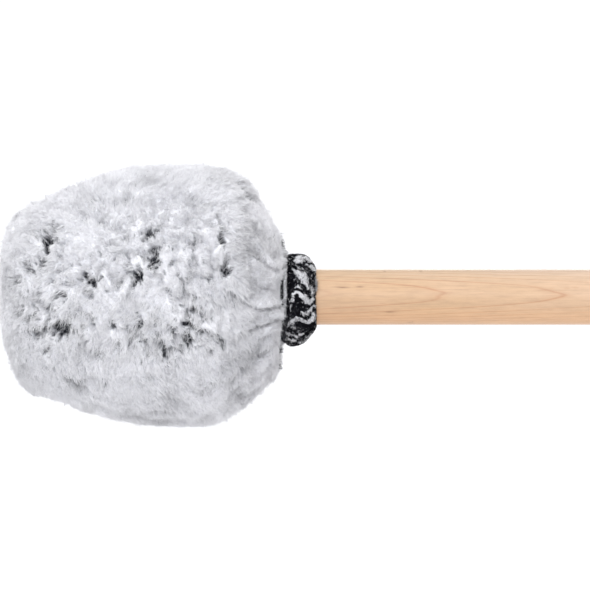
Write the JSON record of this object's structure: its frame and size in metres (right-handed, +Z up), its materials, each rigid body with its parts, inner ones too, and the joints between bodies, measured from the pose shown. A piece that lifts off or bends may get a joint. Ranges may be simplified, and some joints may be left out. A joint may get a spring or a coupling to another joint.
{
  "type": "gong mallet",
  "caption": "Large soft gong mallet: a white fleece head over a weighted, padded wooden core, with a marled fabric collar and a straight maple handle.",
  "frame": {"origin": "centre of the bounding box's base: on the surface that the head rests on, below the handle's axis, halfway along the mallet's length", "axes": "+X along the handle towards the butt (the head is at -X), +Z up, square to the surface that the head's flattened side rests on"},
  "size_m": [0.381, 0.123, 0.1215],
  "materials": {
    "maple": "satin",
    "core_wood": "matte",
    "weight_steel": "satin",
    "zinc_steel": "satin",
    "grey_felt": "matte",
    "foam": "matte",
    "batting": "matte",
    "lining_knit": "matte",
    "waxed_twine": "matte",
    "white_fleece": "matte",
    "black_cord": "matte",
    "grey_edging": "matte",
    "marled_plush": "matte"
  },
  "bodies": {
    "root": {"handle": "maple", "core_hub": "core_wood", "cross_pin": "core_wood", "front_weight": "weight_steel", "rear_weight": "weight_steel", "lag_screw": "zinc_steel", "screw_washer": "zinc_steel", "weight_screw_1": "zinc_steel", "weight_screw_2": "zinc_steel", "weight_screw_3": "zinc_steel", "core_felt": "grey_felt", "front_felt": "grey_felt", "rear_felt": "grey_felt", "foam_jacket": "foam", "front_foam": "foam", "rear_foam": "foam", "batting": "batting", "lining_sock": "lining_knit", "lining_twine": "waxed_twine", "fleece_cover": "white_fleece", "neck_tie_cord": "black_cord", "collar_edging": "grey_edging", "collar_band": "marled_plush"}
  },
  "joints": []
}
